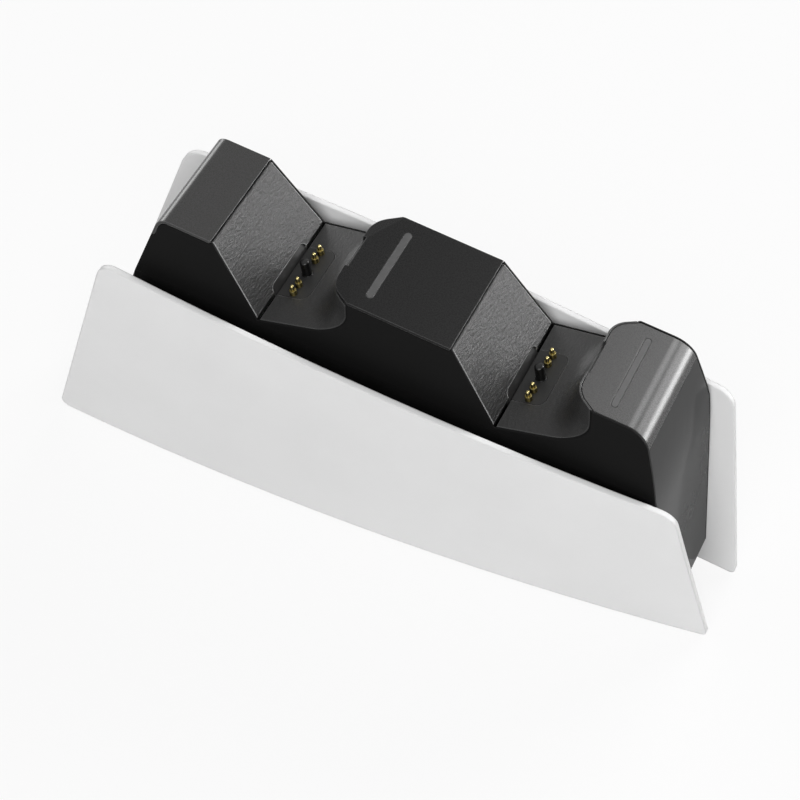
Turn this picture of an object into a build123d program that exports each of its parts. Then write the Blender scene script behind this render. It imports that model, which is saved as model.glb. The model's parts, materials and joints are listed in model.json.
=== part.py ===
from build123d import *
import os
from math import atan2, cos, degrees, radians, sin, tan

# Controller charging dock: two white wings hug a black tower block that has
# two open bays. A controller leans on the backrest of a bay, with its jack on
# the locating post and its contacts on four sprung pins.
# Millimetres. X runs along the dock, the low end at +X. Z = 0 is the table.
# The tops of the towers lie in one plane, the deck, which slopes down to +X.
# Deck coordinates are u along the slope, y across, n square to the slope.

# Deck
SLOPE = 7.7
DECK_HEIGHT = 119.5
BAY_PITCH = 90.0

# Tower block seen from the front, u and n on the deck, x and z from the table
BACKREST_TOP_U = 33.3
BACKREST_RUN = 21.7
BAY_DROP = 24.5
CRADLE_TILT = 18.0
CRADLE_RADIUS = 10.0
TOWER_LEFT_U = -13.4
LEFT_END_U = -77.0
LEFT_END_LEAN = 20.0
LEFT_END_RADIUS = 4.5
PANEL_TOP_LEAN = 16.5
PANEL_BEND_X = 110.6
PANEL_BEND_Z = 79.5
PANEL_FOOT_X = 119.7
PANEL_BEND_RADIUS = 150.0
RIGHT_ROLL_RADIUS = 10.3
SKIRT_HEIGHT = 12.0

# Tower block seen from the end
TOP_HALF_DEPTH = 22.3
WAIST_DROP = 26.0
SIDE_FLARE = 0.166
FOOT_HALF_DEPTH = 15.0

# Rounded left corners of a tower, seen from above
CORNER_START_Y = 12.0
CORNER_RADIUS = 9.0
CORNER_TURN = 55.0

# Walls and seams
SIDE_WALL = 2.0
RIM = 0.6
DECK_WALL = 2.4
CAP_WALL = 1.0
LEFT_LAP = 3.0
SEAM = 0.3
SEAT_GAP = 0.05
BACKREST_ROUND = 0.9

# Finger notch in the left edge of a cap
NOTCH_HALF = 7.4
NOTCH_DEPTH = 1.3

# Planed left corners of the centre cap: two points of the fold, and its dip
FACET_FRONT = (-4.7, 21.7)
FACET_LEFT = (-10.7, 9.3)
FACET_DIP = 15.0

# Light bars and their boards, in the two caps
LIGHT_U = (0.0, 90.0)
LIGHT_HALF = 16.5
LIGHT_WIDTH = 2.3
LIGHT_GAP = 0.1
LIGHT_FLANGE_WIDTH = 4.5
LIGHT_FLANGE = 1.2
LED_HEIGHT = 0.7
LED_WIDTH = 1.6
LED_COUNT = 3
LED_PITCH = 11.0
LED_BOARD = (13.0, 36.0, 1.0)
LED_BOARD_SHIFT = 2.0
LED_AIR = 1.1
LED_SCREW_U = 5.6
LED_SCREW_Y = 13.0
LED_POST_RADIUS = 1.9
LED_PILOT = 2.0

# Connector block on the floor of a bay: f up the floor, w square to it
PAD_ON_FLOOR = 12.3
PAD_ON_SLOPE = 3.0
PAD_HALF = 12.6
PAD_CORNER = 3.5
LEDGE_CORNER = 2.7
PAD_SEAM = 0.15
PAD_RECESS = 0.9
LEDGE_WALL = 2.0
LEDGE_ROOT = 3.0
GROOVE_WIDTH = 1.2
BLOCK_BODY = (1.6, 11.4)
BLOCK_DEPTH = 8.0
BLOCK_EAR = (1.0, 14.0, 17.5)
EAR_THICKNESS = 1.2
CONTACT_BOARD = (11.0, 26.0, 1.2)
PIN_F = 6.3
PIN_YS = (-10.65, -6.4, 6.4, 10.65)
EAR_SCREW_Y = 15.2
EAR_SCREW_LENGTH = 2.5
EAR_PILOT = 1.6

# Sprung pin and its barrel
PIN_RADIUS = 0.75
PIN_PROUD = 4.0
PIN_HEAD_RADIUS = 0.98
PIN_HEAD_LENGTH = 2.9
PIN_ROUND = 0.6
RUNNING = 0.05
BARREL_RADIUS = 1.3
BARREL_PROUD = 1.9
BARREL_LIP = 0.6
BARREL_FLOOR = 0.5
SPRING_WIRE = 0.13
SPRING_RADIUS = 0.75
SPRING_TURNS = 4
SPRING_STEPS = 8

# Locating post
POST_RADIUS = 1.75
POST_PROUD = 6.0
POST_ROUND = 0.7
POST_FOOT_RADIUS = 2.6
POST_FOOT_TOP = -2.0
POST_NECK_RADIUS = 2.1

# Wings, bowed in plan and leaning out towards the top
WING_THICKNESS = 2.2
WING_LIFT = 1.0
WING_HALF_LENGTH = 133.3
WING_LEFT_TOP = (-95.7, 108.6)
WING_RIGHT_TOP = (118.4, 78.9)
WING_CORNERS = (3.0, 2.0, 8.0, 8.0)
WING_FOOT_YS = (19.2, 24.8, 15.9)
WING_TOP_LEVEL = 111.0
WING_TOP_YS = (30.1, 37.3, 35.0)
WING_SCREWS = (
    (-90.0, 26.0),
    (-72.0, 78.0),
    (14.0, 26.0),
    (0.0, 70.0),
    (88.0, 26.0),
    (92.0, 60.0),
)
WING_BOSS_RADIUS = 3.2
WING_SEAT = 0.8
WING_PILOT = 4.2

# Base cover
BASE_ENDS = (-117.2, 117.7)
BASE_FLOOR = 2.4
BASE_WALL = 2.0
BASE_SCREW_XS = (-105.5, 0.0, 107.0)
BASE_SCREW_Y = 10.0
BASE_SCREW_SEAT = 9.0
SHELL_BOSS_RADIUS = 3.0
SHELL_BOSS_TOP = 28.0
BASE_PILOT_TOP = 25.0
RIB = 2.0
WELL_RADIUS = 4.0
WELL_BORE = 2.9
FOOT_X = 88.0
FOOT_Y = 9.5
FOOT_RADIUS = 4.5
FOOT_THICKNESS = 2.0

# Ballast plate, main board and power inlet
BALLAST = (76.0, 22.0, 5.0)
BALLAST_X = 47.0
BALLAST_PEG_X = 30.0
PEG_RADIUS = 1.5
BOARD = (80.0, 13.0, 1.6)
BOARD_X = -71.0
BOARD_Z = 15.0
BOARD_SCREW_XS = (-94.0, -36.0)
BOARD_SCREW_Y = 4.2
BOARD_BOSS_RADIUS = 2.2
BOARD_PILOT = 6.0
CHIPS = ((-10.0, 9.0, 9.0, 1.4), (4.0, 10.0, 10.0, 5.0), (26.0, 6.0, 5.0, 1.2))
CANS = ((14.5, 3.2, 8.0), (21.0, 2.2, 6.0))
INLET_X = -110.6
INLET_Z = 22.4
INLET_BODY = (14.0, 9.0, 11.0)
INLET_NOSE = 4.6
INLET_HOLE = 4.6
INLET_GAP = 0.3
INLET_BORE = 3.0
INLET_DEPTH = 13.0
INLET_PIN = 1.0
INLET_TIP = 2.5

# Screws: shank radius, head radius, head height
SMALL_SCREW = (0.8, 1.5, 0.9)
WING_SCREW = (1.1, 2.3, 1.6)
BASE_SCREW = (1.3, 2.6, 1.8)
SLOT_RADIUS = 0.5
SLOT_FLOOR = 0.45
PILOT_GAP = 0.05
THROUGH_GAP = 0.15
TIP_GAP = 0.4

BACKREST_ANGLE = degrees(atan2(BAY_DROP, BACKREST_RUN))
LIGHT_BOTTOM = -DECK_WALL - SEAT_GAP - LIGHT_FLANGE
LED_BOARD_TOP = LIGHT_BOTTOM - LED_AIR
EAR_LOW = -DECK_WALL - SEAT_GAP - EAR_THICKNESS
RISE = sin(radians(SLOPE))
RUN = cos(radians(SLOPE))
DECK = Location((0, 0, DECK_HEIGHT), (0, SLOPE, 0))

# Sizes of cutting shapes that only have to be larger than what they cut
REACH = 150.0
FAR = 60.0
CLEAR = 20.0
NEAR = 0.5
BLANK_HALF_DEPTH = 30.0

# How far inside cuts and roots run: behind the roll's seam, behind the left face,
# under a tower's cap, and the foot of a post in the plate that carries it
SEAM_CUT = 12.0
COVER_CUT = 8.0
CRADLE_LAP = 16.0
SUNK = 0.5


def to_ground(u, n):
    """Deck point (u, n) as ground (x, z)."""
    return (u * RUN + n * RISE, DECK_HEIGHT - u * RISE + n * RUN)


def bay_shift(bay):
    """Bay 0 is the left one, bay 1 the right one."""
    return (bay - 1) * BAY_PITCH


def groove_u(bay):
    return BACKREST_TOP_U + BACKREST_RUN + bay_shift(bay)


def tower_u(bay):
    """Left side of the tower on the right of a bay."""
    return TOWER_LEFT_U + bay_shift(bay) + BAY_PITCH


def floor_n(u, bay):
    """Height of the flat cradle floor at u."""
    return -BAY_DROP + (u - groove_u(bay)) * tan(radians(CRADLE_TILT))


def floor_frame(bay):
    """Frame on the cradle floor: X up the floor, Z square to it."""
    return DECK * Location((groove_u(bay), 0, -BAY_DROP), (0, -CRADLE_TILT, 0))


def box(x0, x1, y0, y1, z0, z1):
    size = (x1 - x0, y1 - y0, z1 - z0)
    return Pos((x0 + x1) / 2, (y0 + y1) / 2, (z0 + z1) / 2) * Box(*size)


def rod(radius, z0, z1):
    """Upright cylinder from z0 to z1 at the origin."""
    return Pos(0, 0, (z0 + z1) / 2) * Cylinder(radius, z1 - z0)


def screw(kind, length):
    """Screw with its head above Z = 0 and its shank below."""
    shank, head, height = kind
    body = rod(shank, -length, 0) + rod(head, 0, height)
    socket = rod(head * SLOT_RADIUS, height * SLOT_FLOOR, height)
    return body - socket


def xz_face(points):
    return make_face(Plane.XZ * Polyline(*points, close=True))


def across(face):
    """A face drawn in XZ, extruded to both sides of the middle plane."""
    return extrude(face, FAR, both=True)


def deck_region(points):
    """A polygon of deck points, extruded across the dock."""
    return across(xz_face([to_ground(u, n) for u, n in points]))


def waist_z(x):
    return DECK_HEIGHT - WAIST_DROP / RUN - x * RISE / RUN


def block_y(x, z):
    """Half depth of the block below its waist."""
    waist_y = TOP_HALF_DEPTH + SIDE_FLARE * WAIST_DROP
    return FOOT_HALF_DEPTH + (waist_y - FOOT_HALF_DEPTH) * z / waist_z(x)


def cross_prism(inset):
    """Flared cross-section of the tower block, with its waist along the deck."""
    ends = []
    for x in (-REACH, REACH):
        waist_y = TOP_HALF_DEPTH + SIDE_FLARE * WAIST_DROP - inset
        top_z = waist_z(x) + FAR
        top_y = waist_y - SIDE_FLARE * FAR * RUN
        right = [(FOOT_HALF_DEPTH - inset, 0), (waist_y, waist_z(x)), (top_y, top_z)]
        left = [(-y, z) for y, z in reversed(right)]
        plane = Plane((x, 0, 0), x_dir=(0, 1, 0), z_dir=(1, 0, 0))
        ends.append(make_face(plane * Polyline(*right, *left, close=True)))
    return loft(ends, ruled=True)


def block_outline(foot_z):
    """The tower block from the front, down to foot_z."""
    x, z = to_ground(LEFT_END_U, 0)
    points = [(x, z)]
    for bay in (0, 1):
        points.append(to_ground(BACKREST_TOP_U + bay_shift(bay), 0))
        points.append(to_ground(groove_u(bay), -BAY_DROP))
        points.append(to_ground(tower_u(bay), floor_n(tower_u(bay), bay)))
        points.append(to_ground(tower_u(bay), 0))
    lean = tan(radians(PANEL_TOP_LEAN))
    roll_x = (PANEL_BEND_X - (DECK_HEIGHT - PANEL_BEND_Z) * lean) / (1 - lean * RISE / RUN)
    roll = (roll_x, DECK_HEIGHT - roll_x * RISE / RUN)
    bend = (PANEL_BEND_X, PANEL_BEND_Z)
    foot_run = (PANEL_FOOT_X - PANEL_BEND_X) / (PANEL_BEND_Z - SKIRT_HEIGHT)
    points.append(roll)
    points.append(bend)
    points.append((PANEL_BEND_X + (PANEL_BEND_Z - foot_z) * foot_run, foot_z))
    points.append((x - (z - foot_z) * tan(radians(LEFT_END_LEAN)), foot_z))
    face = xz_face(points)
    for corner, radius in (((x, z), LEFT_END_RADIUS), (roll, RIGHT_ROLL_RADIUS), (bend, PANEL_BEND_RADIUS)):
        spot = Vector(corner[0], 0, corner[1])
        vertex = face.vertices().sort_by_distance(spot)[0]
        face = fillet(vertex, radius)
    return face


def corner_cutters(bay, inset):
    """What the rounded left corners take off a tower, above the floor."""
    left = tower_u(bay) + inset
    radius = CORNER_RADIUS - inset
    turn = radians(CORNER_TURN)
    start_u = left - CLEAR / 2
    end_u = left + 2 * CLEAR
    above = deck_region([
        (start_u, floor_n(start_u, bay) - inset),
        (end_u, floor_n(end_u, bay) - inset),
        (end_u, FAR),
        (start_u, FAR),
    ])
    cutters = []
    for side in (-1, 1):
        start = (left, side * CORNER_START_Y)
        mid = (left + radius * (1 - cos(turn / 2)), side * (CORNER_START_Y + radius * sin(turn / 2)))
        end = (left + radius * (1 - cos(turn)), side * (CORNER_START_Y + radius * sin(turn)))
        out = (end[0] + CLEAR * sin(turn), end[1] + side * CLEAR * cos(turn))
        rim = ThreePointArc(start, mid, end)
        rim += Polyline(end, out, (start_u, out[1]), (start_u, start[1]), start)
        column = extrude(make_face(rim), FAR, both=True)
        cutters.append((DECK * column) & above)
    return cutters


def cut_corners(solid, inset):
    for bay in (0, 1):
        for cutter in corner_cutters(bay, inset):
            solid -= cutter
    return solid


def cradle_edges(solid, bay):
    """Edges where the cradle floor meets the tower, which the cradle rounds."""
    found = []
    for edge in solid.edges():
        spot = edge.center()
        u = spot.X * RUN - (spot.Z - DECK_HEIGHT) * RISE
        n = spot.X * RISE + (spot.Z - DECK_HEIGHT) * RUN
        on_floor = abs(n - floor_n(u, bay)) < NEAR
        near_tower = tower_u(bay) - NEAR < u < tower_u(bay) + CLEAR
        inside = abs(spot.Y) < BLANK_HALF_DEPTH - NEAR
        if on_floor and near_tower and inside:
            found.append(edge)
    return found


def tower_block():
    """The outer form of the block as one solid."""
    block = cut_corners(extrude(block_outline(SKIRT_HEIGHT), BLANK_HALF_DEPTH, both=True), 0)
    for bay in (0, 1):
        block = fillet(cradle_edges(block, bay), CRADLE_RADIUS)
    return block & cross_prism(0)


def grown(inset):
    """The block's outline moved inwards, through the whole depth."""
    return across(offset(block_outline(-CLEAR), -inset, kind=Kind.INTERSECTION))


def room(inset):
    """Inside of the block's skin, with the towers' rounded corners."""
    return cut_corners(grown(inset), inset)


def seam_on_roll():
    """Where the right cap meets the end panel, on the outside."""
    lean = radians(PANEL_TOP_LEAN)
    x = (PANEL_BEND_X - (DECK_HEIGHT - PANEL_BEND_Z) * tan(lean)) / (1 - tan(lean) * RISE / RUN)
    z = DECK_HEIGHT - x * RISE / RUN
    run = RIGHT_ROLL_RADIUS * tan(radians(90 - SLOPE - PANEL_TOP_LEAN) / 2)
    return (x + run * sin(lean), z - run * cos(lean))


def below_roll(gap):
    """Everything under the seam between right cap and end panel."""
    lean = radians(PANEL_TOP_LEAN)
    seam_x, seam_z = seam_on_roll()
    x = seam_x + gap * sin(lean)
    z = seam_z - gap * cos(lean)
    out = (x + FAR * cos(lean), z + FAR * sin(lean))
    inner = (x - SEAM_CUT * cos(lean), z - SEAM_CUT * sin(lean))
    return across(xz_face([out, inner, (inner[0], -CLEAR), (out[0] + FAR, -CLEAR)]))


def mitre(bay, gap, ahead):
    """The mitre plane at the top of a backrest: a point above and one below."""
    half = radians((180 - BACKREST_ANGLE) / 2)
    u = BACKREST_TOP_U + bay_shift(bay) + gap
    return (u + ahead * cos(half), ahead * sin(half))


def left_of_top(bay, gap):
    """Region on the tower side of a backrest's top edge."""
    above = mitre(bay, -gap, CLEAR)
    below = mitre(bay, -gap, -FAR)
    left = -2 * REACH
    return deck_region([above, below, (left, below[1]), (left, above[1])])


def slab(u0, u1, wall):
    """The top layer of the deck between two stations."""
    return deck_region([(u0, CLEAR), (u1, CLEAR), (u1, -wall), (u0, -wall)])


def top_zone(tower, wall, slack):
    """Room of a tower's top, wall deep; slack lengthens it at its seams."""
    if tower == 1:
        flat = slab(tower_u(0) - NEAR, BACKREST_TOP_U + CLEAR, wall)
        return flat & left_of_top(1, SEAM / 2 - slack)
    band = across(block_outline(-CLEAR)) - grown(wall)
    if tower == 0:
        start = LEFT_END_U + 2 * LEFT_END_RADIUS
        end = start + NEAR
        low = -(LEFT_END_RADIUS + LEFT_LAP + slack)
        curl = band & deck_region([(-REACH, CLEAR), (end, CLEAR), (end, low), (-REACH, low)])
        flat = slab(start, BACKREST_TOP_U, wall)
        return (flat + curl) & left_of_top(0, SEAM / 2 - slack)
    start = LIGHT_U[1] + LIGHT_WIDTH
    end = start - NEAR
    low = -RIGHT_ROLL_RADIUS - CLEAR
    curl = band & deck_region([(end, CLEAR), (REACH, CLEAR), (REACH, low), (end, low)])
    flat = slab(tower_u(1) - NEAR, start, wall)
    return (flat + curl) - below_roll(slack)


def deck_box(u0, u1, half, n0, n1):
    return DECK * box(u0, u1, -half, half, n0, n1)


def corner_facets(cap):
    """Plane the two left corners of a cap so that they dip outwards."""
    for side in (-1, 1):
        start = Vector(FACET_FRONT[0], side * FACET_FRONT[1], 0)
        end = Vector(FACET_LEFT[0], side * FACET_LEFT[1], 0)
        along = (end - start).normalized()
        outward = Vector(along.Y * side, -along.X * side, 0)
        normal = Vector(0, 0, cos(radians(FACET_DIP))) + outward * sin(radians(FACET_DIP))
        plane = Plane(start, x_dir=along, z_dir=normal)
        cap -= DECK * (plane * Pos(0, 0, CLEAR / 2) * Box(2 * FAR, 2 * FAR, CLEAR))
    return cap


def light_slot(u, gap, n0, n1):
    """A round-ended bar shape lying across the deck."""
    shape = SlotOverall(2 * (LIGHT_HALF + gap), LIGHT_WIDTH + 2 * gap, rotation=90)
    return DECK * Pos(u, 0, n0) * extrude(shape, n1 - n0)


def led_posts(u):
    """Posts under a cap that carry the lamp board, and their pilot holes."""
    posts = []
    pilots = []
    for side in (-1, 1):
        place = DECK * Pos(u + LED_SCREW_U, side * LED_SCREW_Y, 0)
        posts.append(place * rod(LED_POST_RADIUS, LED_BOARD_TOP, SUNK - DECK_WALL))
        bore = SMALL_SCREW[0] + PILOT_GAP
        pilots.append(place * rod(bore, LED_BOARD_TOP - NEAR, LED_BOARD_TOP + LED_PILOT))
    return posts, pilots


def ear_screw():
    """Screw from below through a connector's ear into the cradle."""
    return Pos(0, 0, EAR_LOW - SEAT_GAP) * Rot(180, 0, 0) * screw(SMALL_SCREW, EAR_SCREW_LENGTH)


def cap(block, tower):
    """Lid of the centre (1) or right (2) tower."""
    between = cross_prism(RIM + SEAM)
    left = tower_u(tower - 1)
    if tower == 1:
        plate = (block & top_zone(1, CAP_WALL, 0)) + (block & top_zone(1, DECK_WALL, 0) & between)
        plate = corner_facets(plate)
    else:
        plate = block & top_zone(2, DECK_WALL, 0) & between
        plate -= deck_box(left - CLEAR, left + RIM + SEAM, FAR, -CLEAR, CLEAR)
        for cutter in corner_cutters(1, RIM + SEAM):
            plate -= cutter
    plate -= deck_box(left - CLEAR, left + NOTCH_DEPTH, NOTCH_HALF, -CLEAR, CLEAR)
    u = LIGHT_U[tower - 1]
    posts, pilots = led_posts(u)
    for post in posts:
        plate += post
    for pilot in pilots:
        plate -= pilot
    return plate - light_slot(u, LIGHT_GAP, -CLEAR, CLEAR)


def light_bar(u):
    bar = light_slot(u, 0, -DECK_WALL - SEAT_GAP, 0)
    half = LIGHT_FLANGE_WIDTH / 2
    return bar + deck_box(u - half, u + half, LIGHT_HALF, LIGHT_BOTTOM, LIGHT_BOTTOM + LIGHT_FLANGE)


def led_board(u):
    width, length, thick = LED_BOARD
    u0 = u + LED_BOARD_SHIFT - width / 2
    board = deck_box(u0, u0 + width, length / 2, LED_BOARD_TOP - SEAT_GAP - thick, LED_BOARD_TOP - SEAT_GAP)
    for side in (-1, 1):
        hole = rod(SMALL_SCREW[0] + THROUGH_GAP, -CLEAR, CLEAR)
        board -= DECK * Pos(u + LED_SCREW_U, side * LED_SCREW_Y, 0) * hole
    return board


def lamps(u):
    chips = []
    for step in range(LED_COUNT):
        y = (step - (LED_COUNT - 1) / 2) * LED_PITCH
        chip = Box(LED_WIDTH, LED_WIDTH * 2, LED_HEIGHT)
        chips.append(DECK * Pos(u, y, LED_BOARD_TOP - SEAT_GAP + LED_HEIGHT / 2) * chip)
    return chips


def led_screws():
    found = []
    for u in LIGHT_U:
        for side in (-1, 1):
            seat = LED_BOARD_TOP - 2 * SEAT_GAP - LED_BOARD[2]
            place = Pos(u + LED_SCREW_U, side * LED_SCREW_Y, seat) * Rot(180, 0, 0)
            length = LED_BOARD[2] + LED_PILOT - TIP_GAP
            found.append(DECK * place * screw(SMALL_SCREW, length))
    return found


def left_region():
    """Everything behind the slanted left face."""
    x, z = to_ground(LEFT_END_U, 0)
    foot_x = x - z * tan(radians(LEFT_END_LEAN))
    left = -REACH - FAR
    in_x = x + COVER_CUT / 2
    points = [(left, REACH), (in_x, REACH), (in_x, z - COVER_CUT), (foot_x + COVER_CUT, 0), (left, 0)]
    return across(xz_face(points))


def left_cover(block, skin):
    between = cross_prism(RIM + SEAM)
    cover = block & top_zone(0, CAP_WALL, 0)
    cover += block & top_zone(0, DECK_WALL, 0) & between
    cover += skin & between & left_region()
    hole = Pos(-REACH, 0, INLET_Z) * Rot(0, 90, 0) * rod(INLET_HOLE, 0, FAR)
    return cover - hole


def side_shell(block, side):
    """Front (-1) or rear (+1) wall: a thin rim, a ledge inside it, bosses."""
    half = box(-REACH, REACH, min(0, side * FAR), max(0, side * FAR), -CLEAR, REACH)
    wall = block - cross_prism(SIDE_WALL) - (cross_prism(RIM) - room(DECK_WALL + SEAT_GAP))
    wall &= half
    for tower in (0, 1):
        wall -= top_zone(tower, CAP_WALL + SEAM, SEAM)
    for x in BASE_SCREW_XS:
        boss = Pos(x, side * BASE_SCREW_Y, 0) * rod(SHELL_BOSS_RADIUS, SKIRT_HEIGHT, SHELL_BOSS_TOP)
        outer = side * (block_y(x, SHELL_BOSS_TOP) - SIDE_WALL / 2)
        low, high = sorted((side * BASE_SCREW_Y, outer))
        rib = box(x - RIB / 2, x + RIB / 2, low, high, SKIRT_HEIGHT, SHELL_BOSS_TOP)
        boss += rib & cross_prism(SIDE_WALL / 2)
        wall += boss
        wall -= Pos(x, side * BASE_SCREW_Y, 0) * rod(BASE_SCREW[0] + PILOT_GAP, 0, BASE_PILOT_TOP)
    for x, z in WING_SCREWS:
        seat = wing_screw_seat(x, z)
        outer = block_y(x, z) - SIDE_WALL / 2
        wall += across_rod(x, z, side, WING_BOSS_RADIUS, seat, outer)
        wall -= across_rod(x, z, side, WING_SCREW[0] + THROUGH_GAP, seat - NEAR, outer + CLEAR)
    return wall


def wing_screw_seat(x, z):
    """Depth at which a wing screw's head bears, inside the wall."""
    return block_y(x, z - WING_BOSS_RADIUS) - SIDE_WALL - WING_SEAT


def across_rod(x, z, side, radius, y0, y1):
    """A rod along Y from y0 to y1 on the front (-1) or rear (+1) side."""
    return Pos(x, 0, z) * Rot(-side * 90, 0, 0) * rod(radius, y0, y1)


def backrest(skin, bay):
    stop = groove_u(bay) - GROOVE_WIDTH / 2
    above = mitre(bay, SEAM / 2, CLEAR)
    below = mitre(bay, SEAM / 2, -FAR)
    zone = deck_region([above, (stop, above[1]), (stop, below[1]), below])
    rest = skin & cross_prism(RIM + SEAM) & zone
    top = rest.edges().filter_by(Axis.Y).sort_by(Axis.Z)[-1]
    rest = fillet(top, BACKREST_ROUND)
    return rest - slope_frame(bay) * extrude(ledge_plan(0), CLEAR / 2, both=True)


def ledge_plan(gap):
    """Plan on the backrest of the cut-out over the connector's ledge."""
    shape = Rectangle(2 * (PAD_ON_SLOPE + gap), 2 * (PAD_HALF + gap))
    return fillet(shape.vertices(), LEDGE_CORNER + gap)


def slope_frame(bay):
    """Frame on a backrest: X up the slope, Z square to it."""
    lean = radians(BACKREST_ANGLE)
    up = (-cos(lean), 0, sin(lean))
    outward = (sin(lean), 0, cos(lean))
    return DECK * Plane((groove_u(bay), 0, -BAY_DROP), x_dir=up, z_dir=outward).location


def pad_plan(gap):
    """Plan of the connector pad on the cradle floor."""
    length = PAD_ON_FLOOR + gap
    shape = Pos(length - PAD_ON_FLOOR, 0) * Rectangle(2 * PAD_ON_FLOOR, 2 * (PAD_HALF + gap))
    return fillet(shape.vertices().group_by(Axis.X)[-1], PAD_CORNER + gap)


def cradle(block, skin, bay):
    """Floor of a bay with the curved wall of the tower beside it."""
    start = groove_u(bay) + GROOVE_WIDTH / 2
    tower = tower_u(bay)
    end = tower + CRADLE_LAP
    top = -(DECK_WALL + SEAM)
    zone = deck_region([(start, top), (end, top), (end, -FAR), (start, -FAR)])
    floor = skin & cross_prism(RIM + SEAM) & zone
    if bay == 1:
        rim = block & cross_prism(RIM + SEAM) & slab(tower - NEAR, end, DECK_WALL + 2 * SEAM)
        inside = deck_box(tower + RIM, end + CLEAR, FAR, -CLEAR, CLEAR)
        for cutter in corner_cutters(1, RIM):
            inside -= cutter
        floor += rim - inside
        floor -= deck_box(tower - CLEAR, tower + RIM + SEAM, NOTCH_HALF, top, CLEAR)
    frame = floor_frame(bay)
    floor -= frame * extrude(pad_plan(0), CLEAR / 2, both=True)
    for side in (-1, 1):
        pilot = rod(SMALL_SCREW[0] + PILOT_GAP, -DECK_WALL - NEAR, -DECK_WALL + EAR_PILOT)
        floor -= frame * Pos(PIN_F, side * EAR_SCREW_Y, 0) * pilot
    return floor


def on_slope(s, v):
    """A point s up the backrest and v above it, in the floor's frame."""
    angle = radians(180 - BACKREST_ANGLE - CRADLE_TILT)
    return (s * cos(angle) + v * sin(angle), s * sin(angle) - v * cos(angle))


def pin_places(bay):
    return [floor_frame(bay) * Pos(PIN_F, y, 0) for y in PIN_YS]


def ear_places(bay):
    return [floor_frame(bay) * Pos(PIN_F, side * EAR_SCREW_Y, 0) for side in (-1, 1)]


def connector(bay):
    """Block in the floor with its pad, its ledge on the backrest and two ears."""
    foot, head = BLOCK_BODY
    ear_top = -DECK_WALL - SEAT_GAP
    near = GROOVE_WIDTH / 2
    far = PAD_ON_FLOOR - PAD_SEAM
    angle = radians(180 - BACKREST_ANGLE - CRADLE_TILT)
    profile = [
        (near, 0),
        (far, 0),
        (far, EAR_LOW),
        (head, EAR_LOW),
        (head, -BLOCK_DEPTH),
        (foot, -BLOCK_DEPTH),
        on_slope(-LEDGE_ROOT, -PAD_RECESS - LEDGE_WALL),
        on_slope(PAD_ON_SLOPE - PAD_SEAM, -PAD_RECESS - LEDGE_WALL),
        on_slope(PAD_ON_SLOPE - PAD_SEAM, -PAD_RECESS),
        on_slope((near + PAD_RECESS * sin(angle)) / cos(angle), -PAD_RECESS),
    ]
    body = extrude(xz_face(profile), PAD_HALF - PAD_SEAM, both=True)
    body &= extrude(pad_plan(-PAD_SEAM), CLEAR, both=True)
    start, end, half = BLOCK_EAR
    body += box(start, end, -half, half, EAR_LOW, ear_top)
    middle = Pos(PIN_F, 0, 0)
    for y in PIN_YS:
        body -= Pos(PIN_F, y, 0) * rod(BARREL_RADIUS + SEAT_GAP, -CLEAR, CLEAR)
    body -= middle * rod(POST_NECK_RADIUS + SEAT_GAP, -CLEAR, CLEAR)
    body -= middle * rod(POST_FOOT_RADIUS + SEAT_GAP, -CLEAR, POST_FOOT_TOP + SEAT_GAP)
    for side in (-1, 1):
        hole = rod(SMALL_SCREW[0] + THROUGH_GAP, -CLEAR, CLEAR)
        body -= Pos(PIN_F, side * EAR_SCREW_Y, 0) * hole
    corners = box(0, 2 * PAD_ON_SLOPE, -2 * PAD_HALF, 2 * PAD_HALF, -CLEAR, CLEAR)
    corners -= extrude(ledge_plan(-PAD_SEAM), FAR, both=True)
    return floor_frame(bay) * body - slope_frame(bay) * corners


def post(bay):
    """Locating post, held by its wide foot under the pad."""
    shaft = rod(POST_RADIUS, -BLOCK_DEPTH, POST_PROUD)
    shaft = fillet(shaft.edges().group_by(Axis.Z)[-1], POST_ROUND)
    body = shaft + rod(POST_NECK_RADIUS, -BLOCK_DEPTH, 0) + rod(POST_FOOT_RADIUS, -BLOCK_DEPTH, POST_FOOT_TOP)
    return floor_frame(bay) * Pos(PIN_F, 0, 0) * body


def pin():
    """Sprung pin with its stop ring inside the barrel; its travel is downwards."""
    top = BARREL_PROUD - BARREL_LIP
    shaft = rod(PIN_RADIUS, top - PIN_HEAD_LENGTH, PIN_PROUD)
    shaft = fillet(shaft.edges().group_by(Axis.Z)[-1], PIN_ROUND)
    return shaft + rod(PIN_HEAD_RADIUS, top - PIN_HEAD_LENGTH, top)


def barrel():
    top = BARREL_PROUD - BARREL_LIP
    body = rod(BARREL_RADIUS, -BLOCK_DEPTH, BARREL_PROUD)
    body -= rod(PIN_HEAD_RADIUS + RUNNING, BARREL_FLOOR - BLOCK_DEPTH, top)
    return body - rod(PIN_RADIUS + RUNNING, top - NEAR, BARREL_PROUD + NEAR)


def spring():
    """Coil spring between the barrel's floor and the pin, in short straight runs."""
    low = BARREL_FLOOR - BLOCK_DEPTH + SPRING_WIRE + SEAT_GAP
    high = BARREL_PROUD - BARREL_LIP - PIN_HEAD_LENGTH - SPRING_WIRE - SEAT_GAP
    count = SPRING_TURNS * SPRING_STEPS
    points = []
    for step in range(count + 1):
        turn = radians(360 * step / SPRING_STEPS)
        z = low + (high - low) * step / count
        points.append((SPRING_RADIUS * cos(turn), SPRING_RADIUS * sin(turn), z))
    path = Polyline(*points)
    start = Plane(path @ 0, z_dir=path % 0)
    return sweep(start * RegularPolygon(SPRING_WIRE, 4), path, transition=Transition.RIGHT)


def contact_board(bay):
    width, length, thick = CONTACT_BOARD
    top = -BLOCK_DEPTH - SEAT_GAP
    body = box(PIN_F - width / 2, PIN_F + width / 2, -length / 2, length / 2, top - thick, top)
    return floor_frame(bay) * body


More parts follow.
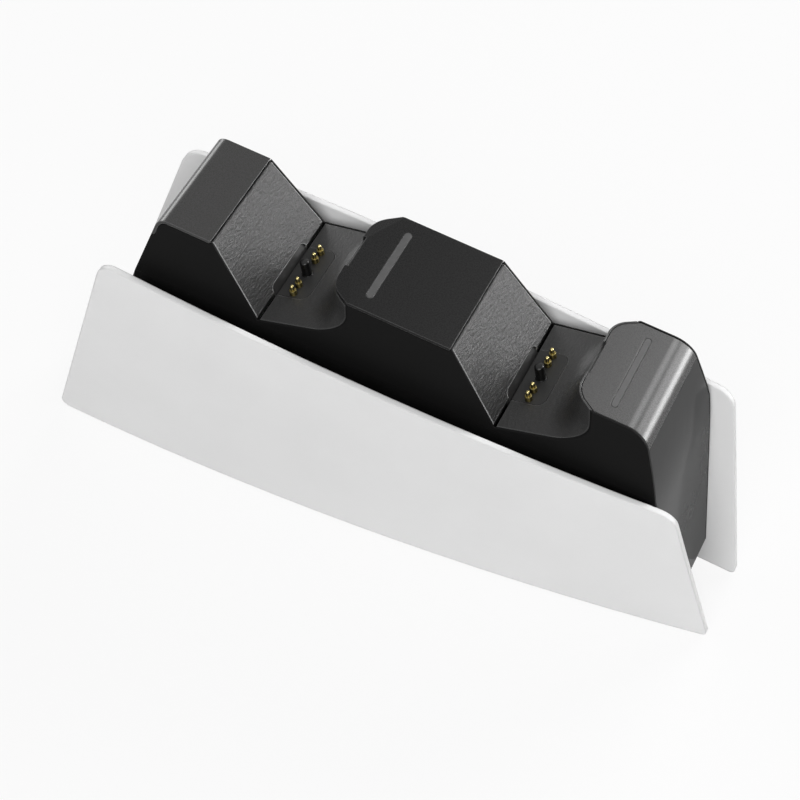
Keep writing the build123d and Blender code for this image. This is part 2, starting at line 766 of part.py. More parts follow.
def wing_face(z, ys, inset):
    """Bowed strip of a wing at one level, from the middle plane or its inside."""
    left, middle, right = ys
    end = WING_HALF_LENGTH
    outer = ThreePointArc((-end, left), (0, middle), (end, right))
    if inset:
        inner = ThreePointArc((end, right - inset), (0, middle - inset), (-end, left - inset))
        sides = [Line(outer @ 1, inner @ 0), Line(inner @ 1, outer @ 0)]
        return Pos(0, 0, z) * make_face([outer, inner, *sides])
    base = Polyline(outer @ 1, (end, 0), (-end, 0), outer @ 0)
    return Pos(0, 0, z) * make_face([outer, base])


def wing_loft(inset):
    faces = [wing_face(0, WING_FOOT_YS, inset), wing_face(WING_TOP_LEVEL, WING_TOP_YS, inset)]
    return loft(faces, ruled=True)


def wing_outline():
    corners = [(-WING_HALF_LENGTH, WING_LIFT), (WING_HALF_LENGTH, WING_LIFT), WING_RIGHT_TOP, WING_LEFT_TOP]
    face = xz_face(corners)
    for (x, z), radius in zip(corners, WING_CORNERS):
        vertex = face.vertices().sort_by_distance(Vector(x, 0, z))[0]
        face = fillet(vertex, radius)
    return across(face)


def rear_wing():
    """Bowed plate that leans out, with bosses back to the block."""
    plate = wing_loft(WING_THICKNESS) & wing_outline()
    behind = wing_loft(0)
    for x, z in WING_SCREWS:
        start = block_y(x, z)
        boss = across_rod(x, z, 1, WING_BOSS_RADIUS, start - SIDE_WALL, FAR) & behind
        plate += boss - cross_prism(-SEAT_GAP)
        plate -= across_rod(x, z, 1, WING_SCREW[0] + PILOT_GAP, start - SIDE_WALL, start + WING_PILOT)
    return plate


def wing_screws():
    found = []
    for side in (-1, 1):
        for x, z in WING_SCREWS:
            seat = wing_screw_seat(x, z) - SEAT_GAP
            length = block_y(x, z) + WING_PILOT - TIP_GAP - seat
            found.append(Pos(x, side * seat, z) * Rot(side * 90, 0, 0) * screw(WING_SCREW, length))
    return found


def base_cover():
    """Tub under the block, with wells for the screws and seats for what it carries."""
    floor_top = WING_LIFT + BASE_FLOOR
    rim = SKIRT_HEIGHT - SEAM
    left, right = BASE_ENDS
    tub = box(left, right, -FAR, FAR, WING_LIFT, rim) & cross_prism(0)
    hollow = box(left + BASE_WALL, right - BASE_WALL, -FAR, FAR, floor_top, rim + NEAR)
    tub -= hollow & cross_prism(BASE_WALL)
    for x in BASE_SCREW_XS:
        for side in (-1, 1):
            place = Pos(x, side * BASE_SCREW_Y, 0)
            tub += place * rod(WELL_RADIUS, WING_LIFT, SKIRT_HEIGHT - SEAT_GAP)
            tub -= place * rod(WELL_BORE, 0, BASE_SCREW_SEAT)
            tub -= place * rod(BASE_SCREW[0] + THROUGH_GAP, 0, CLEAR)
    for x in BOARD_SCREW_XS:
        for side in (-1, 1):
            place = Pos(x, side * BOARD_SCREW_Y, 0)
            tub += place * rod(BOARD_BOSS_RADIUS, floor_top - SUNK, BOARD_Z - SEAT_GAP)
            tub -= place * rod(SMALL_SCREW[0] + PILOT_GAP, BOARD_Z - BOARD_PILOT, BOARD_Z + NEAR)
    for side in (-1, 1):
        peg = rod(PEG_RADIUS, floor_top - SUNK, floor_top + BALLAST[2])
        tub += Pos(BALLAST_X + side * BALLAST_PEG_X, 0, 0) * peg
    for place in foot_places():
        tub -= place * rod(FOOT_RADIUS + SEAT_GAP, 0, FOOT_THICKNESS + SEAT_GAP)
    return tub


def foot_places():
    return [Pos(x, y, 0) for x in (-FOOT_X, FOOT_X) for y in (-FOOT_Y, FOOT_Y)]


def base_screws():
    found = []
    for x in BASE_SCREW_XS:
        for side in (-1, 1):
            place = Pos(x, side * BASE_SCREW_Y, BASE_SCREW_SEAT - SEAT_GAP) * Rot(180, 0, 0)
            found.append(place * screw(BASE_SCREW, BASE_PILOT_TOP - TIP_GAP - BASE_SCREW_SEAT))
    return found


def ballast_plate():
    length, width, thick = BALLAST
    low = WING_LIFT + BASE_FLOOR + SEAT_GAP
    plate = Pos(BALLAST_X, 0, low + thick / 2) * Box(length, width, thick)
    for side in (-1, 1):
        plate -= Pos(BALLAST_X + side * BALLAST_PEG_X, 0, 0) * rod(PEG_RADIUS + SEAT_GAP, 0, CLEAR)
    return plate


def main_board():
    length, width, thick = BOARD
    board = Pos(BOARD_X, 0, BOARD_Z + thick / 2) * Box(length, width, thick)
    for x in BOARD_SCREW_XS:
        for side in (-1, 1):
            board -= Pos(x, side * BOARD_SCREW_Y, 0) * rod(SMALL_SCREW[0] + THROUGH_GAP, 0, FAR)
    return board


def board_screws():
    top = BOARD_Z + BOARD[2] + SEAT_GAP
    length = BOARD[2] + BOARD_PILOT - TIP_GAP
    return [
        Pos(x, side * BOARD_SCREW_Y, top) * screw(SMALL_SCREW, length)
        for x in BOARD_SCREW_XS
        for side in (-1, 1)
    ]


def board_components():
    """Converter, coil and capacitors that stand on the main board."""
    top = BOARD_Z + BOARD[2] + SEAT_GAP
    found = []
    for x, length, width, height in CHIPS:
        found.append(Pos(BOARD_X + x, 0, top + height / 2) * Box(length, width, height))
    for x, radius, height in CANS:
        found.append(Pos(BOARD_X + x, 0, top) * rod(radius, 0, height))
    return found


def power_inlet():
    """Barrel socket on the board, its nose in the hole of the left cover."""
    length, width, height = INLET_BODY
    low = BOARD_Z + BOARD[2] + SEAT_GAP
    back = INLET_X + length
    body = box(INLET_X, back, -width / 2, width / 2, low, low + height)
    mouth = INLET_X - INLET_NOSE
    place = Pos(mouth, 0, INLET_Z) * Rot(0, 90, 0)
    body += place * rod(INLET_HOLE - INLET_GAP, 0, INLET_NOSE + 1)
    body -= place * rod(INLET_BORE, -1, INLET_DEPTH)
    return body + place * rod(INLET_PIN, INLET_TIP, INLET_DEPTH + 1)


def save(name, parts):
    solids = []
    for part in parts:
        solids.extend(part.solids())
    shape = solids[0] if len(solids) == 1 else Compound(children=solids)
    export_step(shape, f"parts/{name}.step")


def main():
    os.makedirs("parts", exist_ok=True)
    block = tower_block()
    skin = block - room(DECK_WALL)
    save("front_shell", [side_shell(block, -1)])
    save("rear_shell", [side_shell(block, 1)])
    save("left_cover", [left_cover(block, skin)])
    save("centre_cap", [cap(block, 1)])
    save("right_cap", [cap(block, 2)])
    between = cross_prism(RIM + SEAM)
    save("end_panel", [skin & between & below_roll(SEAM)])
    for name, bay in (("left", 0), ("right", 1)):
        save(f"{name}_backrest", [backrest(skin, bay)])
        save(f"{name}_cradle", [cradle(block, skin, bay)])
        save(f"{name}_connector", [connector(bay)])
        save(f"{name}_post", [post(bay)])
        save(f"{name}_pin_barrels", [place * barrel() for place in pin_places(bay)])
        save(f"{name}_contact_board", [contact_board(bay)])
        for number, place in enumerate(pin_places(bay), 1):
            save(f"{name}_pin_{number}", [place * pin()])
            save(f"{name}_spring_{number}", [place * spring()])
    screws = [place * ear_screw() for bay in (0, 1) for place in ear_places(bay)]
    save("connector_screws", screws)
    for name, u in zip(("centre", "right"), LIGHT_U):
        save(f"{name}_light_bar", [light_bar(u)])
        save(f"{name}_led_board", [led_board(u)])
        save(f"{name}_lamps", lamps(u))
    save("led_screws", led_screws())
    wing = rear_wing()
    save("rear_wing", [wing])
    save("front_wing", [mirror(wing, about=Plane.XZ)])
    save("wing_screws", wing_screws())
    save("base_cover", [base_cover()])
    save("base_screws", base_screws())
    save("rubber_feet", [place * rod(FOOT_RADIUS, 0, FOOT_THICKNESS) for place in foot_places()])
    save("ballast_plate", [ballast_plate()])
    save("main_board", [main_board()])
    save("board_components", board_components())
    save("board_screws", board_screws())
    save("power_inlet", [power_inlet()])


main()
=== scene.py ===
import json
from math import cos, pi, radians, sin

import bpy
from mathutils import Matrix, Vector


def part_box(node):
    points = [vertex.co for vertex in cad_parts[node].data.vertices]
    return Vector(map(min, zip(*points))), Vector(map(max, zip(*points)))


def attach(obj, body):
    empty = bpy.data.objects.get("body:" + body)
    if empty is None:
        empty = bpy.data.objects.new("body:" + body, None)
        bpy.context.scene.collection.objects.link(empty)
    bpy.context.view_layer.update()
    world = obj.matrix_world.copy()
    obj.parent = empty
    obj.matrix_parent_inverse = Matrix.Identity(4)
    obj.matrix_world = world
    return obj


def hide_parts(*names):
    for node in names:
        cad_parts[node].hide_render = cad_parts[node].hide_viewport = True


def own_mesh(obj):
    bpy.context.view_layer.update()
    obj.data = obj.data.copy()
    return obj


# Looks of the controller charging dock, in metres and in the frame of its solids. The posts, pins, barrels
# and springs are made again here as smooth round pieces.

MM = 0.001

# Camera, fitted to the photograph: compass and height angle, distance, shifts aside and up as the camera
# sees them, height of the point that it turns about, and lens
CAMERA_AZIMUTH = 25.06
CAMERA_ELEVATION = 49.90
CAMERA_DISTANCE = 865.52 * MM
CAMERA_ASIDE = 3.60 * MM
CAMERA_RAISED = 30.46 * MM
CAMERA_LIFT = 1.0 * MM
CAMERA_NEAR = 0.01
CAMERA_FAR = 50.0
SENSOR = 36.0
FOCAL_PIXELS = 2279.8
PHOTO_PIXELS = 800

# Stage: the floor, with the share of its shadow that the camera sees, and the world's strength for rays
# that light the dock and for rays that see it
FLOOR_SIZE = 12.0
FLOOR_SHADOW = 0.12
FLOOR_ALBEDO = 0.70
FLOOR_ROUGHNESS = 0.9
FLOOR_SPECULAR = 0.1
WORLD_FOR_LIGHT = 0.20
WORLD_FOR_CAMERA = 1.0
LAMP_AIM = (0.0, 0.0, 0.08)

# Lamps round the dock: compass angle from +X, height angle, distance, width, height, watts, and what it
# lights. A "sheen" lamp is seen only as a reflection, as a strip softbox set for gloss. A "fill" lamp adds
# no reflection, so that the pale wings aren't overlit where the black plastic shines. "both" does both.
LAMPS = {
    "key": (42, 2, 2.0, 0.70, 0.80, 43.0, "sheen"),
    "edge": (48, 26, 1.9, 0.50, 0.75, 12.0, "sheen"),
    "cap": (68, 46, 1.8, 0.50, 0.60, 10.0, "sheen"),
    "rear_left": (148, 17, 1.8, 0.70, 0.70, 14.0, "sheen"),
    "rear": (72, 30, 2.1, 1.50, 1.20, 34.0, "fill"),
    "front": (-72, 44, 2.1, 1.60, 1.20, 38.0, "both"),
}

# Moulded edges: the rounding that the shader gives them, and the dot products of rounded and flat normal
# at which the colour painted along edges (a painted highlight where pale, painted shade where dark) is
# fully painted and not painted at all
EDGE_ROUND = 0.35 * MM
ROUND_SAMPLES = 6
PAINTED_EDGE_SAMPLES = 8
PAINTED_EDGE_FULL = 0.85
PAINTED_EDGE_NONE = 0.98

# Linear colours
STEEL = (0.55, 0.55, 0.57, 1.0)
BALLAST_STEEL = (0.38, 0.38, 0.40, 1.0)
BRASS = (0.52, 0.44, 0.20, 1.0)
DULL_BRASS = (0.22, 0.18, 0.07, 1.0)
METAL_DULLED = 0.82
BOARD_GREEN = (0.012, 0.105, 0.045, 1.0)
BOARD_GREEN_PALE = (0.014, 0.120, 0.050, 1.0)
TRACK_GREEN = (0.030, 0.200, 0.090, 1.0)

# Turned pieces of the bays, as (radius, height over the pad) in mm, and how far the post's mount stands
# over the pad
AXIS_TO_PAD = 2.65
TURN_STEPS = 48
SHARP_ANGLE = 35
BORE_FLOOR = -7.5
PIN_FOOT = -1.6
PIN_PROFILE = (
    (0, PIN_FOOT), (0.98, PIN_FOOT), (0.98, 1.3), (0.75, 1.3), (0.75, 3.4),
    (0.70, 3.63), (0.58, 3.82), (0.40, 3.94), (0.20, 3.99), (0, 4.0),
)
BARREL_PROFILE = (
    (0, -8), (1.3, -8), (1.3, 1.75), (1.26, 1.85), (1.15, 1.9), (0.8, 1.9),
    (0.8, 1.3), (1.03, 1.3), (1.03, BORE_FLOOR), (0, BORE_FLOOR),
)
POST_PROFILE = (
    (0, -8), (2.6, -8), (2.6, -2), (2.1, -2), (2.1, 0), (1.75, 0), (1.75, 5.3),
    (1.70, 5.57), (1.54, 5.80), (1.32, 5.94), (1.05, 6.0), (0, 6.0),
)
PINS = (1, 2, 3, 4)

# Coil springs under the pins, in mm, with the share of the coil that each flat end takes
COIL_RADIUS = 0.75
COIL_WIRE = 0.12
COIL_LOW = -7.33
COIL_HIGH = -1.77
COIL_TURNS = 5
COIL_FLAT = 0.1
COIL_STEPS = 24
WIRE_SIDES = 8


def srgb(level):
    """Linear value of an 8-bit sRGB level."""
    part = level / 255
    return part / 12.92 if part <= 0.04045 else ((part + 0.055) / 1.055) ** 2.4


def grey(level, warm=0.0):
    """A grey by its sRGB level, a little warmer or cooler."""
    return (srgb(level * (1 + warm)), srgb(level), srgb(level * (1 - warm)), 1.0)


class Nodes:
    """Short calls for building one material's nodes."""

    def __init__(self, name):
        self.material = bpy.data.materials.new(name)
        self.material.use_nodes = True
        self.tree = self.material.node_tree
        self.shader = self.tree.nodes["Principled BSDF"]
        self.place = self.tree.nodes.new("ShaderNodeTexCoord").outputs["Object"]

    def link(self, source, target):
        self.tree.links.new(source, target)

    def add(self, kind, **values):
        node = self.tree.nodes.new(kind)
        for key, value in values.items():
            setattr(node, key, value)
        return node

    def noise(self, scale, detail=3.0, rough=0.5, stretch=(1, 1, 1)):
        spread = self.add("ShaderNodeMapping")
        spread.inputs["Scale"].default_value = stretch
        node = self.add("ShaderNodeTexNoise")
        node.inputs["Scale"].default_value = scale
        node.inputs["Detail"].default_value = detail
        node.inputs["Roughness"].default_value = rough
        self.link(self.place, spread.inputs["Vector"])
        self.link(spread.outputs["Vector"], node.inputs["Vector"])
        return node.outputs["Fac"]

    def cells(self, scale):
        node = self.add("ShaderNodeTexVoronoi", feature="SMOOTH_F1")
        node.inputs["Scale"].default_value = scale
        self.link(self.place, node.inputs["Vector"])
        return node.outputs["Distance"]

    def between(self, source, low, high, start=0.3, end=0.7):
        node = self.add("ShaderNodeMapRange")
        node.inputs["From Min"].default_value = start
        node.inputs["From Max"].default_value = end
        node.inputs["To Min"].default_value = low
        node.inputs["To Max"].default_value = high
        self.link(source, node.inputs["Value"])
        return node.outputs["Result"]

    def colours(self, source, low, high, start=0.3, end=0.7):
        ramp = self.add("ShaderNodeValToRGB")
        ramp.color_ramp.elements[0].position = start
        ramp.color_ramp.elements[0].color = low
        ramp.color_ramp.elements[1].position = end
        ramp.color_ramp.elements[1].color = high
        self.link(source, ramp.inputs["Fac"])
        self.link(ramp.outputs["Color"], self.shader.inputs["Base Color"])

    def roughness(self, source, low, high):
        self.link(self.between(source, low, high), self.shader.inputs["Roughness"])

    def relief(self, *layers, edge=EDGE_ROUND):
        """Bump layers as (height source, depth in metres), over rounded edges."""
        bevel = self.add("ShaderNodeBevel", samples=ROUND_SAMPLES)
        bevel.inputs["Radius"].default_value = edge
        normal = bevel.outputs["Normal"]
        for source, depth in layers:
            bump = self.add("ShaderNodeBump")
            bump.inputs["Strength"].default_value = 1.0
            bump.inputs["Distance"].default_value = depth
            self.link(source, bump.inputs["Height"])
            self.link(normal, bump.inputs["Normal"])
            normal = bump.outputs["Normal"]
        self.link(normal, self.shader.inputs["Normal"])

    def painted_edge_light(self, colour, width):
        """Paint a colour along moulded edges: a painted highlight where it is paler than the base, painted
        shade where it is darker.
        """
        bevel = self.add("ShaderNodeBevel", samples=PAINTED_EDGE_SAMPLES)
        bevel.inputs["Radius"].default_value = width
        plain = self.add("ShaderNodeNewGeometry")
        facing = self.add("ShaderNodeVectorMath", operation="DOT_PRODUCT")
        self.link(bevel.outputs["Normal"], facing.inputs[0])
        self.link(plain.outputs["Normal"], facing.inputs[1])
        painted_edge_mask = self.between(facing.outputs["Value"], 1.0, 0.0, start=PAINTED_EDGE_FULL, end=PAINTED_EDGE_NONE)
        mix = self.add("ShaderNodeMix", data_type="RGBA")
        base = self.shader.inputs["Base Color"].links[0].from_socket
        self.link(painted_edge_mask, mix.inputs["Factor"])
        self.link(base, mix.inputs["A"])
        mix.inputs["B"].default_value = colour
        self.link(mix.outputs["Result"], self.shader.inputs["Base Color"])

    def set(self, **values):
        for key, value in values.items():
            self.shader.inputs[key.replace("_", " ")].default_value = value


def white_plastic():
    made = Nodes("white_plastic")
    made.colours(made.noise(22.0, detail=4.0), grey(224), grey(228))
    made.roughness(made.noise(60.0), 0.40, 0.50)
    made.relief((made.noise(5200.0, detail=2.0), 0.004 * MM), edge=1.0 * MM)
    made.set(IOR=1.46, Specular_IOR_Level=0.3)
    return made.material


def black_plastic(name, level, rough, specular, depth=0.003, painted_edge_highlight=None):
    """Moulded black plastic with a fine etched grain, its depth in mm."""
    made = Nodes(name)
    mottle = made.noise(60.0, detail=5.0, rough=0.6)
    made.colours(mottle, grey(level * 0.98, 0.008), grey(level * 1.02, 0.004))
    made.roughness(made.noise(2600.0, detail=2.0), rough - 0.01, rough + 0.02)
    made.relief((made.noise(3800.0, detail=2.0, rough=0.6), depth * MM))
    made.set(Specular_IOR_Level=specular)
    # A paler colour along the edges: a painted highlight, where the moulded edges catch light.
    if painted_edge_highlight:
        made.painted_edge_light(grey(painted_edge_highlight), 0.45 * MM)
    return made.material


def grained_plastic(name, dark, pale, specular, deep, painted_edge_highlight):
    """Leather-like grain of the bays: creases along the slope's width over small cells, and a painted
    highlight along the edges.
    """
    made = Nodes(name)
    creases = made.noise(520.0, detail=5.0, rough=0.65, stretch=(2.2, 0.8, 2.2))
    fine = made.noise(3600.0, detail=3.0, rough=0.6)
    made.colours(made.noise(2600.0, detail=4.0, rough=0.7), grey(dark, 0.006), grey(pale, 0.004), end=0.75)
    made.roughness(made.noise(4200.0, detail=3.0, rough=0.6), 0.32, 0.48)
    made.relief(
        (creases, 0.5 * deep * MM),
        (made.cells(1400.0), 0.06 * deep * MM),
        (fine, 0.03 * MM),
        edge=0.6 * MM,
    )
    # The paler colour along the edges is a painted highlight, where the moulded ridges catch light.
    made.painted_edge_light(grey(painted_edge_highlight), 0.9 * MM)
    made.set(Specular_IOR_Level=specular)
    return made.material


def gloss_plastic_painted_reflection():
    made = Nodes("gloss_black")
    smear = made.noise(30.0, detail=4.0, rough=0.65)
    # The panel is glossy black plastic; its base is raised to a dark grey well above the dock's black, a
    # painted reflection in place of most of its gloss, while the specular is kept very low and the low
    # roughness stays real.
    made.colours(smear, grey(58), grey(62))
    made.roughness(smear, 0.09, 0.13)
    made.relief((made.noise(25.0, detail=1.0), 0.01 * MM), edge=0.25 * MM)
    made.set(Specular_IOR_Level=0.04)
    return made.material


def diffuser(name, level, painted_edge_shade=None):
    """Unlit light bar or lamp: smooth satin plastic, made opaque."""
    made = Nodes(name)
    made.colours(made.noise(300.0, detail=3.0), grey(level * 0.95), grey(level * 1.04))
    made.roughness(made.noise(900.0), 0.30, 0.42)
    made.relief((made.noise(2500.0), 0.004 * MM), edge=0.2 * MM)
    made.set(Specular_IOR_Level=0.2)
    # A darker colour along the bar's edges is painted shade, where the slot round the bar shades it.
    if painted_edge_shade is not None:
        made.painted_edge_light(grey(painted_edge_shade), 0.5 * MM)
    return made.material


def metal(name, colour, rough_low, rough_high, scale=900.0):
    made = Nodes(name)
    dust = made.noise(scale, detail=4.0)
    made.colours(dust, tuple(part * METAL_DULLED for part in colour[:3]) + (1.0,), colour)
    made.roughness(dust, rough_low, rough_high)
    made.relief((dust, 0.006 * MM), edge=0.12 * MM)
    made.set(Metallic=1.0)
    return made.material


def board_green():
    made = Nodes("board_green")
    tracks = made.add("ShaderNodeTexBrick")
    tracks.inputs["Scale"].default_value = 420.0
    tracks.inputs["Mortar Size"].default_value = 0.08
    tracks.inputs["Color1"].default_value = BOARD_GREEN
    tracks.inputs["Color2"].default_value = BOARD_GREEN_PALE
    tracks.inputs["Mortar"].default_value = TRACK_GREEN
    made.link(made.place, tracks.inputs["Vector"])
    made.link(tracks.outputs["Color"], made.shader.inputs["Base Color"])
    made.roughness(made.noise(400.0), 0.25, 0.4)
    made.relief((tracks.outputs["Fac"], 0.02 * MM), edge=0.1 * MM)
    return made.material


def rubber():
    made = Nodes("foot_rubber")
    made.colours(made.noise(200.0), grey(34), grey(42))
    made.roughness(made.noise(1200.0), 0.75, 0.9)
    made.relief((made.noise(2600.0), 0.03 * MM), edge=0.4 * MM)
    return made.material


def all_materials():
    """Materials by slot of the record, with two for turned pieces, and by node where it has its own."""
    steel = metal("screw_steel", STEEL, 0.3, 0.45)
    slots = {
        "white_shell": white_plastic(),
        "body_black": black_plastic("body_black", level=16, rough=0.5, specular=0.06),
        # The pale edge colours given to the caps and grained slopes are painted highlights.
        "cap_black": black_plastic("cap_black", level=20, rough=0.27, specular=0.15, painted_edge_highlight=80),
        "cradle_grain": grained_plastic("slope_grain", dark=22, pale=40, specular=0.42, deep=1.0, painted_edge_highlight=170),
        "gloss_black": gloss_plastic_painted_reflection(),
        "light_bar": diffuser("centre_diffuser", 76),
        "connector_black": black_plastic("connector_black", level=40, rough=0.40, specular=0.16),
        "pin_brass": metal("pin_brass", BRASS, 0.10, 0.18),
        "spring_steel": steel,
        "screw_steel": steel,
        "circuit_board": board_green(),
        "lamp": diffuser("lamp_phosphor", 205),
        "electronics": black_plastic("packages", level=40, rough=0.5, specular=0.3),
        "inlet_black": black_plastic("inlet_black", level=26, rough=0.4, specular=0.2),
        "foot_rubber": rubber(),
        "ballast_steel": metal("ballast_steel", BALLAST_STEEL, 0.35, 0.55, scale=300.0),
        "post": black_plastic("post_black", level=12, rough=0.22, specular=0.3, depth=0.001),
        "barrel": metal("barrel_brass", DULL_BRASS, 0.25, 0.4),
    }
    # The cradles' pale edge colour is a painted highlight.
    cradle = grained_plastic("cradle_grain", dark=32, pale=46, specular=0.24, deep=0.4, painted_edge_highlight=74)
    own = {
        "left_cradle": cradle,
        "right_cradle": cradle,
        # The right bar's dark edge colour is painted shade.
        "right_light_bar": diffuser("right_diffuser", 80, painted_edge_shade=24),
        # The left cover and right cap are the same black plastic as the centre cap (cap_black, level 20);
        # their lighter bases are painted light, for the sheen that their tops catch. The cover's pale edge
        # colour is a painted highlight.
        "left_cover": black_plastic("cover_black_painted_light", level=54, rough=0.27, specular=0.22, painted_edge_highlight=100),
        "right_cap": black_plastic("right_cap_black_painted_light", level=50, rough=0.27, specular=0.32),
    }
    return slots, own


def smooth_piece(name, points, faces, material):
    mesh = bpy.data.meshes.new(name)
    mesh.from_pydata(points, [], faces)
    mesh.validate()
    mesh.shade_smooth()
    mesh.set_sharp_from_angle(angle=radians(SHARP_ANGLE))
    mesh.materials.append(material)
    piece = bpy.data.objects.new(name, mesh)
    bpy.context.scene.collection.objects.link(piece)
    return piece


def turned(name, profile, places, axis, body, nodes, material):
    """Revolve a profile round the bay's axis at each place, as one smooth piece."""
    across = axis.orthogonal().normalized()
    along = axis.cross(across)
    points = []
    faces = []
    for place in places:
        rings = []
        for radius, height in profile:
            centre = place + axis * height * MM
            if radius == 0:
                rings.append([len(points)] * TURN_STEPS)
                points.append(centre)
                continue
            ring = []
            for step in range(TURN_STEPS):
                turn = 2 * pi * step / TURN_STEPS
                ring.append(len(points))
                points.append(centre + (across * cos(turn) + along * sin(turn)) * radius * MM)
            rings.append(ring)
        for lower, upper in zip(rings, rings[1:]):
            for step in range(TURN_STEPS):
                after = (step + 1) % TURN_STEPS
                corners = (lower[step], lower[after], upper[after], upper[step])
                faces.append(tuple(dict.fromkeys(corners)))
    piece = smooth_piece(name, points, faces, material)
    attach(piece, body)
    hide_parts(*nodes)


def coil(name, place, axis, node, material):
    """Round-wire spring with flat end turns."""
    across = axis.orthogonal().normalized()
    along = axis.cross(across)
    count = COIL_TURNS * COIL_STEPS
    points = []
    for step in range(count + 1):
        turn = 2 * pi * step / COIL_STEPS
        risen = min(1, max(0, (step / count - COIL_FLAT) / (1 - 2 * COIL_FLAT)))
        outward = across * cos(turn) + along * sin(turn)
        centre = place + (outward * COIL_RADIUS + axis * (COIL_LOW + (COIL_HIGH - COIL_LOW) * risen)) * MM
        for side in range(WIRE_SIDES):
            round_wire = 2 * pi * side / WIRE_SIDES
            points.append(centre + (outward * cos(round_wire) + axis * sin(round_wire)) * COIL_WIRE * MM)
    faces = [tuple(range(WIRE_SIDES)), tuple(range(count * WIRE_SIDES, (count + 1) * WIRE_SIDES))[::-1]]
    for step in range(count):
        for side in range(WIRE_SIDES):
            here = step * WIRE_SIDES
            after = (side + 1) % WIRE_SIDES
            faces.append((here + side, here + WIRE_SIDES + side, here + WIRE_SIDES + after, here + after))
    piece = smooth_piece(name, points, faces, material)
    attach(piece, "dock")
    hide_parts(node)
    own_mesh(piece)


def add_bay(side, mount, slots):
    """Turned post, barrels and pins and coil springs of one bay, on the line of its post."""
    axis = Vector(mount["axis"]).normalized()
    pad = Vector(mount["pos_m"]) - axis * AXIS_TO_PAD * MM
    post = side + "_post"
    turned(
        side + "_locating_post", POST_PROFILE, [pad], axis, "dock", [post], slots["post"]
    )
    places = []
    for number in PINS:
        pin = "%s_pin_%d" % (side, number)
        low_corner, high_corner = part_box(pin)
        place = Vector((pad.x, (low_corner[1] + high_corner[1]) / 2, pad.z))
        places.append(place)
        turned(pin + "_turned", PIN_PROFILE, [place], axis, pin, [pin], slots["pin_brass"])
        spring = "%s_spring_%d" % (side, number)
        coil(spring + "_coil", place, axis, spring, slots["spring_steel"])
    barrels = side + "_pin_barrels"
    turned(
        side + "_barrels", BARREL_PROFILE, places, axis, "dock", [barrels], slots["barrel"]
    )


def dress(nodes, rows, slots, own):
    """Give every node of the dock its material."""
    for row in rows:
        node = row["node"]
        made = own.get(node) or slots[row["material_slot"]]
        for holder in nodes[node].material_slots:
            holder.link = "OBJECT"
            holder.material = made


def add_camera():
    azimuth = radians(CAMERA_AZIMUTH)
    elevation = radians(CAMERA_ELEVATION)
    right = Vector((cos(azimuth), sin(azimuth), 0))
    back = Vector((sin(azimuth) * cos(elevation), -cos(azimuth) * cos(elevation), sin(elevation)))
    up = back.cross(right)
    place = CAMERA_ASIDE * right + CAMERA_RAISED * up + CAMERA_DISTANCE * back + Vector((0, 0, CAMERA_LIFT))
    data = bpy.data.cameras.new("camera")
    data.sensor_width = SENSOR
    data.lens = FOCAL_PIXELS * SENSOR / PHOTO_PIXELS
    data.clip_start = CAMERA_NEAR
    data.clip_end = CAMERA_FAR
    camera = bpy.data.objects.new("camera", data)
    turn = Matrix((right, up, back)).transposed().to_4x4()
    camera.matrix_world = Matrix.Translation(place) @ turn
    bpy.context.scene.collection.objects.link(camera)
    bpy.context.scene.camera = camera


def add_lamp(name, angle, height_angle, distance, width, height, watts, lights):
    data = bpy.data.lights.new(name, "AREA")
    data.shape = "RECTANGLE"
    data.size = width
    data.size_y = height
    data.energy = watts
    level = cos(radians(height_angle))
    away = Vector((cos(radians(angle)) * level, sin(radians(angle)) * level, sin(radians(height_angle))))
    lamp = bpy.data.objects.new(name, data)
    lamp.location = Vector(LAMP_AIM) + away * distance
    lamp.visible_diffuse = lights != "sheen"
    lamp.visible_glossy = lights != "fill"
    lamp.rotation_mode = "QUATERNION"
    lamp.rotation_quaternion = (-away).to_track_quat("-Z", "Y")
    bpy.context.scene.collection.objects.link(lamp)


def seen_share(tree):
    """1 for camera, glossy and transmission rays, which see the white background, and else 0."""
    path = tree.nodes.new("ShaderNodeLightPath")
    total = path.outputs["Is Camera Ray"]
    for ray in ("Is Glossy Ray", "Is Transmission Ray"):
        most = tree.nodes.new("ShaderNodeMath")
        most.operation = "MAXIMUM"
        tree.links.new(total, most.inputs[0])
        tree.links.new(path.outputs[ray], most.inputs[1])
        total = most.outputs[0]
    return total


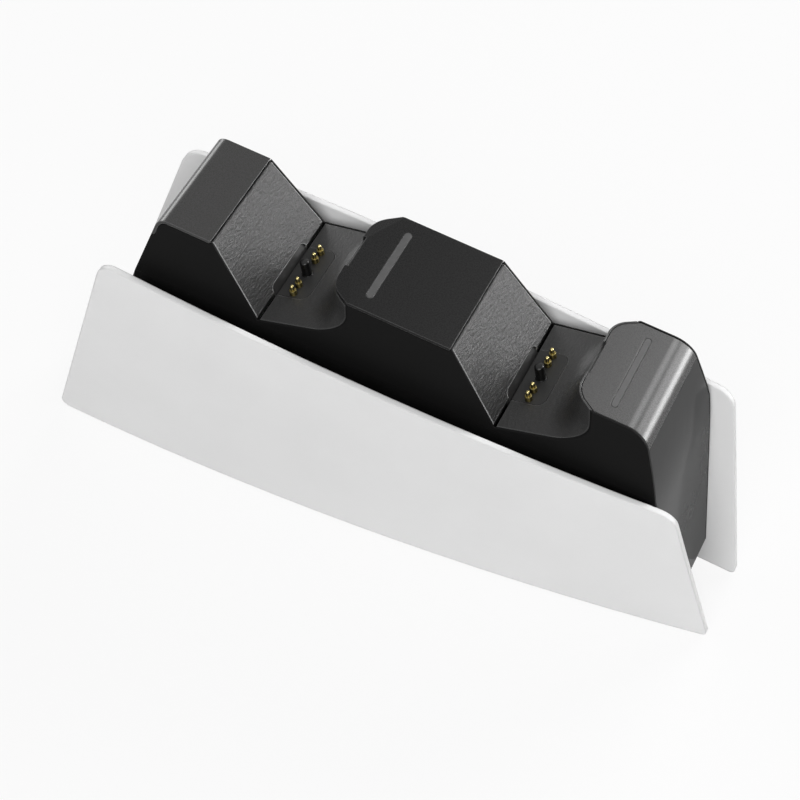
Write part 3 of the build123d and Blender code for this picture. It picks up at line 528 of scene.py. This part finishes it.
def add_floor():
    """Pale floor: white to the camera, but for a soft share of shadow."""
    half = FLOOR_SIZE / 2
    corners = [(-half, -half, 0), (half, -half, 0), (half, half, 0), (-half, half, 0)]
    mesh = bpy.data.meshes.new("floor")
    mesh.from_pydata(corners, [], [(0, 1, 2, 3)])
    floor = bpy.data.objects.new("floor", mesh)
    bpy.context.scene.collection.objects.link(floor)
    material = bpy.data.materials.new("floor_white")
    material.use_nodes = True
    tree = material.node_tree
    shader = tree.nodes["Principled BSDF"]
    shader.inputs["Base Color"].default_value = (FLOOR_ALBEDO, FLOOR_ALBEDO, FLOOR_ALBEDO, 1.0)
    shader.inputs["Roughness"].default_value = FLOOR_ROUGHNESS
    shader.inputs["Specular IOR Level"].default_value = FLOOR_SPECULAR
    glow = tree.nodes.new("ShaderNodeEmission")
    glow.inputs["Strength"].default_value = WORLD_FOR_CAMERA
    share = tree.nodes.new("ShaderNodeMath")
    share.operation = "MULTIPLY"
    share.inputs[1].default_value = 1 - FLOOR_SHADOW
    mix = tree.nodes.new("ShaderNodeMixShader")
    tree.links.new(seen_share(tree), share.inputs[0])
    tree.links.new(share.outputs[0], mix.inputs[0])
    tree.links.new(shader.outputs[0], mix.inputs[1])
    tree.links.new(glow.outputs[0], mix.inputs[2])
    tree.links.new(mix.outputs[0], tree.nodes["Material Output"].inputs["Surface"])
    mesh.materials.append(material)


def add_world():
    world = bpy.data.worlds.new("studio")
    bpy.context.scene.world = world
    world.use_nodes = True
    tree = world.node_tree
    ground = tree.nodes["Background"]
    ground.inputs["Color"].default_value = (1.0, 1.0, 1.0, 1.0)
    level = tree.nodes.new("ShaderNodeMapRange")
    level.inputs["To Min"].default_value = WORLD_FOR_LIGHT
    level.inputs["To Max"].default_value = WORLD_FOR_CAMERA
    tree.links.new(seen_share(tree), level.inputs["Value"])
    tree.links.new(level.outputs["Result"], ground.inputs["Strength"])


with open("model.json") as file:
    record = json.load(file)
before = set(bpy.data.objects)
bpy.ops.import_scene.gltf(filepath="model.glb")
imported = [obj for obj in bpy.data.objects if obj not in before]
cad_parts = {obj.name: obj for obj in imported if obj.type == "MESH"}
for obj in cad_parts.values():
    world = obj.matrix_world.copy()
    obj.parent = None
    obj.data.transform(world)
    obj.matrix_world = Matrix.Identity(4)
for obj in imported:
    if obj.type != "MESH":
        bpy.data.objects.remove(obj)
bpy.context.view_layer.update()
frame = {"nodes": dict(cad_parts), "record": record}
record = frame["record"]

add_camera()
materials, own_materials = all_materials()
dress(frame["nodes"], record["subparts"], materials, own_materials)
for mount in record["mounts"]:
    if mount["name"].endswith("_post_fit"):
        add_bay(mount["name"].split("_")[0], mount, materials)
add_floor()
add_world()
for lamp_name, lamp_facts in LAMPS.items():
    add_lamp(lamp_name, *lamp_facts)
bpy.context.scene.view_settings.view_transform = "Standard"
